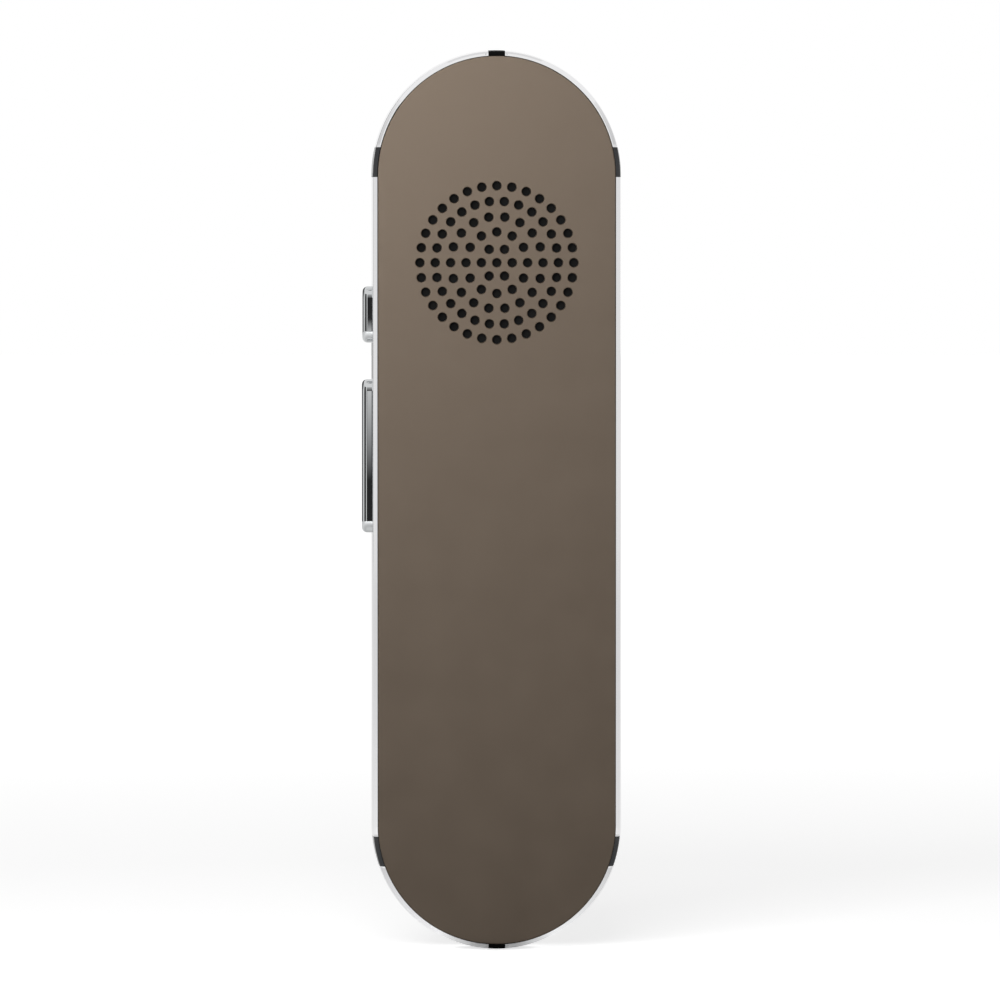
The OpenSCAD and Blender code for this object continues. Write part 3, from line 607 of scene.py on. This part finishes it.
# %% Places of the speaker holes
RINGS = (1, 6, 12, 18, 26, 32)
RING_PITCH = 2.335
GRILLE_Z = 36.1
HOLE_RADIUS = 0.65
COUNTERSINK = 0.1
holes = []
for ring, count in enumerate(RINGS):
    for number in range(count):
        angle = 2 * math.pi * number / count
        reach = ring * RING_PITCH
        holes.append((reach * math.cos(angle), GRILLE_Z + reach * math.sin(angle)))
print(len(holes), "speaker holes")


# %% The cover
def rounded_rim(bm, radius, half_spine, inner_y, outer_y, edge, steps):
    """Outlines from a plate's inner face up its side and round its outer edge."""
    away = 1 if outer_y > inner_y else -1
    loops = [pill_loop(bm, radius, half_spine, inner_y)]
    for step in range(steps + 1):
        angle = math.radians(90) * step / steps
        inset = edge * (1 - math.cos(angle))
        lift = edge * (1 - math.sin(angle))
        loops.append(pill_loop(bm, radius - inset, half_spine, outer_y - away * lift))
    bridge(bm, loops)
    return loops[0], loops[-1]


def fill_plate(bm, outline, openings, y_direction):
    """Fills the face between an outline and its openings."""
    edges = outline + [edge for opening in openings for edge in opening]
    bmesh.ops.triangle_fill(bm, edges=edges, use_beauty=True, normal=(0, y_direction, 0))


COVER_EDGE = 0.12
cover = bmesh.new()
inner_rim, outer_rim = rounded_rim(cover, COVER_RADIUS, SPINE, BACK_THICKNESS, 0.0,
                                   COVER_EDGE, 4)
outer_openings = []
inner_openings = []
for x, z in holes:
    sleeve = [circle_loop(cover, HOLE_RADIUS + COUNTERSINK, (x, 0.0, z)),
              circle_loop(cover, HOLE_RADIUS, (x, COUNTERSINK, z)),
              circle_loop(cover, HOLE_RADIUS, (x, BACK_THICKNESS, z))]
    bridge(cover, sleeve)
    outer_openings.append(sleeve[0])
    inner_openings.append(sleeve[-1])
fill_plate(cover, outer_rim, outer_openings, -1)
fill_plate(cover, inner_rim, inner_openings, 1)
bmesh.ops.recalc_face_normals(cover, faces=cover.faces)
make_piece("drilled_cover", cover, "housing", "back_cover")

# %% [markdown]
# ## The front cover
# The front is one sheet of black gloss plastic with a softly rounded edge. It has a large opening
# for the trim of the talk keys and a small one for the status light.

# %% Front cover
trim_low, trim_high = corners("talk_key_trim")
light_low, light_high = corners("light_pipe")
TRIM_FLANGE = 0.75
TRIM_RADIUS = trim_high.x - TRIM_FLANGE
talk_z = (trim_low.z + trim_high.z) / 2
TALK_SPINE = (trim_high.z - trim_low.z) / 2 - trim_high.x
LIGHT_HOLE = 0.95
light_z = (light_low.z + light_high.z) / 2
GLASS_EDGE = 0.5

glass = bmesh.new()
inner_rim, outer_rim = rounded_rim(glass, COVER_RADIUS, SPINE, DECK_Y, FRONT_Y, GLASS_EDGE, 8)
trim_opening = [pill_loop(glass, TRIM_RADIUS, TALK_SPINE, y, talk_z) for y in (DECK_Y, FRONT_Y)]
light_opening = [circle_loop(glass, LIGHT_HOLE, (0, y, light_z)) for y in (DECK_Y, FRONT_Y)]
bridge(glass, trim_opening)
bridge(glass, light_opening)
fill_plate(glass, inner_rim, [trim_opening[0], light_opening[0]], -1)
fill_plate(glass, outer_rim, [trim_opening[1], light_opening[1]], 1)
bmesh.ops.recalc_face_normals(glass, faces=glass.faces)
make_piece("glass_cover", glass, "housing", "front_cover")

# %% [markdown]
# ## The side keys
# Both keys are zinc castings, chromed. Each is a small pill with a well rounded outer edge, and
# it is this roundness that bends the studio into the bright and dark lines along a chrome key.
# Inside the body each key has what works it: a flange that keeps the power key in, the noses that
# press the snap domes, and the leg with the bore in which the rocker turns on its pin.

# %% Side keys
KEY_EDGE = 0.8
KEY_STEPS = 48
FLANGE_THICKNESS = 0.4
FLANGE_GAP = 0.05
NOSE_RADIUS = 0.6
# how far a joined piece reaches into its neighbour
SINK = 0.1
# the power key's visible block is drawn this much less proud than the CAD's
POWER_LOWER = 0.1
key_reach = -power_low.x
key_back = -HALF_WIDTH + WALL + FLANGE_GAP + FLANGE_THICKNESS
nose_end = power_high.x
PIN_X = key_back + 0.65
across_x = Matrix.Rotation(math.radians(90), 4, "Y")


def nose(z):
    """The round nose behind a key that presses its dome."""
    start = key_back - SINK
    return rod(NOSE_RADIUS, nose_end - start,
               Matrix.Translation(((start + nose_end) / 2, MID_Y, z)) @ across_x)


def key_block(z, half_length, reach):
    """The chromed pill of a key, from its back to its rounded face."""
    radius = KEY_WIDTH / 2
    bm = pill_block(radius, half_length - radius, reach + key_back, KEY_EDGE, KEY_STEPS)
    bmesh.ops.transform(bm, matrix=facing_left(key_back, z), verts=bm.verts)
    return bm


power = key_block(power_z, power_half, key_reach - POWER_LOWER)
flange = pill_block(KEY_WIDTH / 2 + POWER_FLANGE, power_half - KEY_WIDTH / 2, FLANGE_THICKNESS)
bmesh.ops.transform(flange, matrix=facing_left(key_back, power_z), verts=flange.verts)
power = combine(power, flange, "UNION")
power = combine(power, nose(power_z), "UNION")
power_piece = make_piece("chrome_power_key", power, "power_key", "power_key")

NOSE_OFFSET = 8.5
LEG_Y = (4.4, 7.6)
LEG_HALF = 1.05
LEG_PAST_PIN = 0.6
PIN_BORE = 0.4
BORE_LENGTH = 10
rocker = key_block(rocker_z + ROCKER_SHIFT, rocker_half + ROCKER_EXTRA, key_reach)
for offset in (NOSE_OFFSET, -NOSE_OFFSET):
    rocker = combine(rocker, nose(rocker_z + offset), "UNION")
leg = box_block((key_back - SINK, LEG_Y[0], rocker_z - LEG_HALF),
                (PIN_X + LEG_PAST_PIN, LEG_Y[1], rocker_z + LEG_HALF))
rocker = combine(rocker, leg, "UNION")
bore = rod(PIN_BORE, BORE_LENGTH, Matrix.Translation((PIN_X, MID_Y, rocker_z))
           @ Matrix.Rotation(math.radians(90), 4, "X"))
rocker = combine(rocker, bore, "DIFFERENCE")
rocker_piece = make_piece("chrome_rocker", rocker, "volume_rocker", "volume_rocker")

# %% [markdown]
# ## Talk keys and their trim
# The front's two talk keys sit in a chromed ring with a thin bar between them. The ring is a
# section carried once round a pill: pushed along one side, spun round the end, pushed back along
# the other side and spun again. Each key is the half of a pill, cut flat beside the bar.

# %% Trim ring
TRIM_WIDTH = 0.8
TRIM_EDGE = 0.25
TALK_RADIUS = TRIM_RADIUS - TRIM_WIDTH
BAR_HALF = 0.5
BAR_SINK = 0.2
BAR_PROUD = 0.1
# points closer than this are one
SEAM = 0.001


def far_edges(geometry):
    """The edges of a fresh extrusion or spin whose points are both new."""
    verts = {part for part in geometry if isinstance(part, bmesh.types.BMVert)}
    return [part for part in geometry if isinstance(part, bmesh.types.BMEdge)
            and set(part.verts) <= verts]


def sweep_round_pill(bm, edges, half_spine, steps=48):
    """Carries a section at the right, in the plane Z = 0, once round a pill and closes it."""
    bmesh.ops.translate(bm, vec=(0, 0, -half_spine), verts=bm.verts)
    for side in (1, -1):
        grown = bmesh.ops.extrude_edge_only(bm, edges=edges)["geom"]
        verts = [part for part in grown if isinstance(part, bmesh.types.BMVert)]
        bmesh.ops.translate(bm, vec=(0, 0, side * 2 * half_spine), verts=verts)
        edges = far_edges(grown)
        spun = bmesh.ops.spin(bm, geom=edges + verts, cent=(0, 0, side * half_spine),
                              axis=(0, -1, 0), angle=math.pi, steps=steps)
        edges = far_edges(spun["geom_last"])
    bmesh.ops.remove_doubles(bm, verts=bm.verts, dist=SEAM)
    bmesh.ops.recalc_face_normals(bm, faces=bm.faces)


ring = bmesh.new()
outline = [(trim_high.x, trim_low.y), (trim_high.x, DECK_Y), (TRIM_RADIUS, DECK_Y),
           (TRIM_RADIUS, trim_high.y), (TALK_RADIUS, trim_high.y), (TALK_RADIUS, trim_low.y)]
points = [ring.verts.new((x, y, 0)) for x, y in outline]
ring.faces.new(points)
bmesh.ops.bevel(ring, geom=points[3:5], offset=TRIM_EDGE, offset_type="OFFSET", segments=6,
                profile=0.5, affect="VERTICES", material=-1, clamp_overlap=False)
sides = list(ring.edges)
bmesh.ops.delete(ring, geom=list(ring.faces), context="FACES_ONLY")
sweep_round_pill(ring, sides, TALK_SPINE)
bar = box_block((-TALK_RADIUS - BAR_SINK, trim_low.y, -BAR_HALF),
                (TALK_RADIUS + BAR_SINK, FRONT_Y + BAR_PROUD, BAR_HALF))
ring = combine(ring, bar, "UNION")
bmesh.ops.translate(ring, vec=(0, 0, talk_z), verts=ring.verts)
make_piece("trim_ring", ring, "housing", "talk_key_trim")

# %% Talk keys
TALK_GAP = 0.1
TALK_EDGE = 0.35
TALK_FLANGE = 0.35
TALK_FLANGE_GAP = 0.05
TALK_NOSE = 1.5
for word, up in (("upper", 1), ("lower", -1)):
    key_low, key_high = corners(word + "_talk_key")
    flange_y = trim_low.y - TALK_FLANGE_GAP - TALK_FLANGE
    parts = []
    for radius, top_y, edge in ((TALK_RADIUS - TALK_GAP, key_high.y, TALK_EDGE),
                                (TRIM_RADIUS, flange_y + TALK_FLANGE, 0)):
        part = bmesh.new()
        outline = pill_loop(part, radius, TALK_SPINE, flange_y, steps=40)
        bmesh.ops.edgeloop_fill(part, edges=outline)
        everything = list(part.verts) + list(part.edges) + list(part.faces)
        bmesh.ops.bisect_plane(part, geom=everything, dist=SEAM,
                               plane_co=(0, 0, BAR_HALF + TALK_GAP), plane_no=(0, 0, -1),
                               clear_outer=True)
        top = push(part, list(part.faces), (0, top_y - flange_y, 0))
        if edge:
            round_edges(part, top[0].edges, edge, 6)
        bmesh.ops.recalc_face_normals(part, faces=part.faces)
        parts.append(part)
    key = combine(parts[0], parts[1], "UNION")
    dome_z = (TALK_SPINE + TALK_RADIUS) / 2
    stem_top = flange_y + SINK
    stem = rod(TALK_NOSE, stem_top - key_low.y,
               Matrix.Translation((0, (key_low.y + stem_top) / 2, dome_z))
               @ Matrix.Rotation(math.radians(90), 4, "X"))
    key = combine(key, stem, "UNION")
    bmesh.ops.scale(key, vec=(1, 1, up), verts=key.verts)
    bmesh.ops.translate(key, vec=(0, 0, talk_z), verts=key.verts)
    bmesh.ops.recalc_face_normals(key, faces=key.faces)
    make_piece("talk_key_" + word, key, word + "_talk_key", word + "_talk_key")

# %% [markdown]
# ## Everything else in the device
# The parts inside are never seen in a closed device, and their CAD shapes are right, so they stay
# as they are. Each is given the finish of its slot.

# %% Finishes for the CAD nodes that stay
kept = 0
for node, thing in frame["nodes"].items():
    if thing.hide_render:
        continue
    thing.data.materials.clear()
    thing.data.materials.append(finish[slot_of[node]])
    kept += 1
print(kept, "CAD nodes keep their shape")

# %% [markdown]
# ## The studio
# A pale floor, a white room and a soft box. Polished metal has no look of its own: it shows what
# stands round it. So the floor and the room have one level for the camera, one for the metal that
# mirrors them and one for the light that they give. The floor that the metal mirrors has painted
# light and shade, read from a short table of distances from its middle: a painted shadow under the
# device, a painted pool of light round it, then dimmer and bright again.

# %% A value that depends on who looks
def by_ray(tree, camera, reflection, other):
    """One value for the camera, one for reflections and glass, and one for all other light."""
    path = add_node(tree, "ShaderNodeLightPath")
    mirrored = add_node(tree, "ShaderNodeMath", {"operation": "MAXIMUM"}, {
        0: path.outputs["Is Glossy Ray"], 1: path.outputs["Is Transmission Ray"]})
    # a Mix node of numbers has 0 as its factor, and mixes from 2 to 3
    first = add_node(tree, "ShaderNodeMix", {}, {0: mirrored.outputs[0], 2: other, 3: reflection})
    last = add_node(tree, "ShaderNodeMix", {}, {
        0: path.outputs["Is Camera Ray"], 2: first.outputs[0], 3: camera})
    return last.outputs[0]


# %% A value that follows a table
def graded(tree, value, table):
    """Looks up a level for a place in metres in a table of places and levels."""
    first = table[0][0]
    last = table[-1][0]
    part = add_node(tree, "ShaderNodeMapRange", {}, {
        "Value": value, "From Min": first, "From Max": last})
    ramp = add_node(tree, "ShaderNodeValToRGB", {}, {"Fac": part.outputs["Result"]})
    stops = ramp.color_ramp.elements
    for place, _ in table[1:-1]:
        stops.new((place - first) / (last - first))
    for stop, (_, level) in zip(stops, table):
        stop.color = (level, level, level, 1.0)
    return ramp.outputs["Color"]


# %% Floor
# pairs of a distance from the middle of the floor in metres and a level
# painted glow that the camera sees: dimmer near the device so that its shadow shows, brighter far
# away
FLOOR_GLOW = ((0.2, 0.75), (0.8, 1.0))
# painted shadow under the device and painted pool of light round it, seen only in the metal's
# reflections
FLOOR_PAINTED_REFLECTION = ((0.003, 0.0), (0.01, 0.6), (0.05, 0.35), (0.15, 0.65))
FLOOR_HALF = 6.0
floor_z = cad_box[0].z
floor_mesh = bpy.data.meshes.new("floor")
bm = bmesh.new()
bmesh.ops.create_grid(bm, x_segments=1, y_segments=1, size=FLOOR_HALF)
bmesh.ops.translate(bm, vec=(0, 0, floor_z), verts=bm.verts)
bm.to_mesh(floor_mesh)
bm.free()
floor = bpy.data.objects.new("floor", floor_mesh)
bpy.context.collection.objects.link(floor)

floor_paint, tree, shader = start_material("matt_white_floor_painted_glow", {
    "Base Color": linear("C8C8C8"), "Roughness": 0.9, "Specular IOR Level": 0.0,
    "Emission Color": (1.0, 1.0, 1.0, 1.0)})
place = add_node(tree, "ShaderNodeTexCoord").outputs["Object"]
away = add_node(tree, "ShaderNodeVectorMath", {"operation": "DISTANCE"}, {
    0: place, 1: (0.0, 0.0, floor_z)}).outputs["Value"]
glow = by_ray(tree, graded(tree, away, FLOOR_GLOW), graded(tree, away, FLOOR_PAINTED_REFLECTION), 0.0)
tree.links.new(glow, shader.inputs["Emission Strength"])
floor_mesh.materials.append(floor_paint)
print("the floor lies at", round(floor_z, 5), "metres")

# %% White room
# how bright the room is as a light, and how bright it is in a reflection
ROOM_LIGHT = 0.18
ROOM_SHEEN = 0.95
world = bpy.data.worlds.new("white_room")
bpy.context.scene.world = world
world.use_nodes = True
tree = world.node_tree
tree.nodes.clear()
sky = add_node(tree, "ShaderNodeBackground", {}, {
    "Color": (1.0, 1.0, 1.0, 1.0), "Strength": by_ray(tree, 1.0, ROOM_SHEEN, ROOM_LIGHT)})
add_node(tree, "ShaderNodeOutputWorld", {}, {"Surface": sky.outputs["Background"]})
print("the room lights at", ROOM_LIGHT, "and is mirrored at", ROOM_SHEEN)


# %% [markdown]
# ### A ring of cards
# A studio for polished things puts up a ring of cards. A dark card behind the camera, brighter
# towards its top, shades the faces that look at the camera. A small card with soft edges in front
# of it puts the long gradient on the flat sides of the keys: its dark ends are as dark as the card
# behind it, so that they don't show. A white strip draws the bright lines, and the grey cards
# above and beside the device take the glare off its rims. The cards are seen only in reflections,
# so they take no light from it.

# %% Cards, seen only in reflections
def card(name, centre, width, height, brightness):
    """A card at a place in metres that faces the object. Its brightness is one number, or a
    table of heights and levels."""
    paint, tree, shader = start_material(name, {
        "Base Color": (0.0, 0.0, 0.0, 1.0), "Specular IOR Level": 0.0,
        "Emission Color": (1.0, 1.0, 1.0, 1.0)})
    if isinstance(brightness, tuple):
        place = add_node(tree, "ShaderNodeTexCoord").outputs["Object"]
        up = add_node(tree, "ShaderNodeSeparateXYZ", {}, {"Vector": place}).outputs["Z"]
        tree.links.new(graded(tree, up, brightness), shader.inputs["Emission Strength"])
    else:
        shader.inputs["Emission Strength"].default_value = brightness
    mesh = bpy.data.meshes.new(name)
    bm = bmesh.new()
    bmesh.ops.create_grid(bm, x_segments=1, y_segments=1, size=0.5)
    bmesh.ops.scale(bm, vec=(width, height, 1), verts=bm.verts)
    facing = (-Vector(centre)).to_track_quat("Z", "Y").to_matrix().to_4x4()
    bmesh.ops.transform(bm, matrix=Matrix.Translation(centre) @ facing, verts=bm.verts)
    bm.to_mesh(mesh)
    bm.free()
    mesh.materials.append(paint)
    made = bpy.data.objects.new(name, mesh)
    bpy.context.collection.objects.link(made)
    made.visible_camera = False
    made.visible_diffuse = False
    made.visible_shadow = False


DARK = 0.03
# pairs of a height in metres and a level
SIDE_LEVELS = ((0.0, 0.85), (0.5, 0.65), (1.2, 0.85))
BEHIND_LEVELS = ((0.03, DARK), (0.4, 0.25), (1.2, 0.6))
PATCH_LEVELS = ((-0.04, DARK), (-0.01, 0.8), (0.003, 0.8), (0.01, DARK))

# each card's centre, width and height in metres, and its brightness
CARDS = {
    "card_behind_camera": ((0, -1.6, 0), 3.2, 2.4, BEHIND_LEVELS),
    "card_patch": ((-0.0105, -1.5, -0.0135), 0.04, 0.066, PATCH_LEVELS),
    "card_left_strip": ((-0.43, -1.5, 0), 0.34, 2.4, 1.0),
    "card_left_front": ((-1.17, -1.09, 0), 1.16, 2.4, 0.08),
    "card_left": ((-1.5, 0, 0), 0.72, 2.5, SIDE_LEVELS),
    "card_left_back": ((-1.06, 1.06, 0), 1.7, 2.4, 0.12),
    "card_behind_left": ((-0.25, 1.5, -0.005), 0.5, 0.05, 0.45),
    "card_right": ((1.5, 0, 0), 0.8, 2.3, SIDE_LEVELS),
    "card_above": ((0, 0.165, 1.5), 1.2, 0.47, 0.8),
    "card_above_front": ((-0.02, -0.2, 1.5), 0.08, 0.24, 0.1),
}
for card_name, measures in CARDS.items():
    card(card_name, *measures)
print(len(CARDS), "cards stand round the device")


# %% Soft box
def soft_box(name, place, target, size, power):
    """A square area lamp at a place in metres that faces a target."""
    lamp = bpy.data.lights.new(name, "AREA")
    lamp.shape = "SQUARE"
    lamp.size = size
    lamp.energy = power
    box = bpy.data.objects.new(name, lamp)
    bpy.context.collection.objects.link(box)
    box.location = place
    box.rotation_euler = (Vector(target) - Vector(place)).to_track_quat("-Z", "Y").to_euler()
    return box


key_box = soft_box("key_box", place=(-0.12, -0.5, 0.2), target=(0, 0, 0.03), size=0.3,
                   power=2.7)
print("one soft box of", key_box.data.energy, "watts")

# %% [markdown]
# ### A flag
# A soft box shows in chrome as a hard white block. In a studio a small black flag, held between
# the lamp and the chrome, takes it away. Light linking does the same: the lamp gets a collection
# of the pieces that it must leave out, and lights everything else.

# %% A flag that keeps the soft box off the chromed keys
flagged = bpy.data.collections.new("flagged_keys")
for key_piece in (power_piece, rocker_piece):
    flagged.objects.link(key_piece)
for entry in flagged.collection_objects:
    entry.light_linking.link_state = "EXCLUDE"
key_box.light_linking.receiver_collection = flagged

# %% [markdown]
# ## The camera
# A long lens from well over a metre away, square to the back cover, as for a catalogue.

# %% Camera
DISTANCE = 1.414
TARGET = Vector((0.000485, 0.0, 0.0001))
TURN = math.radians(-1.1)
RISE = math.radians(1.75)
SENSOR = 36.0
VIEW_WIDTH = 0.15166
lens = bpy.data.cameras.new("long_lens")
lens.sensor_width = SENSOR
lens.lens = SENSOR * DISTANCE / VIEW_WIDTH
lens.clip_start = 0.05
lens.clip_end = 50
camera = bpy.data.objects.new("camera", lens)
bpy.context.collection.objects.link(camera)
camera.location = TARGET + DISTANCE * Vector((math.tan(TURN), -1, math.tan(RISE)))
camera.rotation_euler = (TARGET - camera.location).to_track_quat("-Z", "Y").to_euler()
bpy.context.scene.camera = camera
print("a lens of", round(lens.lens), "mm at", DISTANCE, "metres")

# %% [markdown]
# ## The last settings
# Standard view keeps colours as written.

# %% View transform and the end
bpy.context.scene.view_settings.view_transform = "Standard"
bpy.context.view_layer.update()
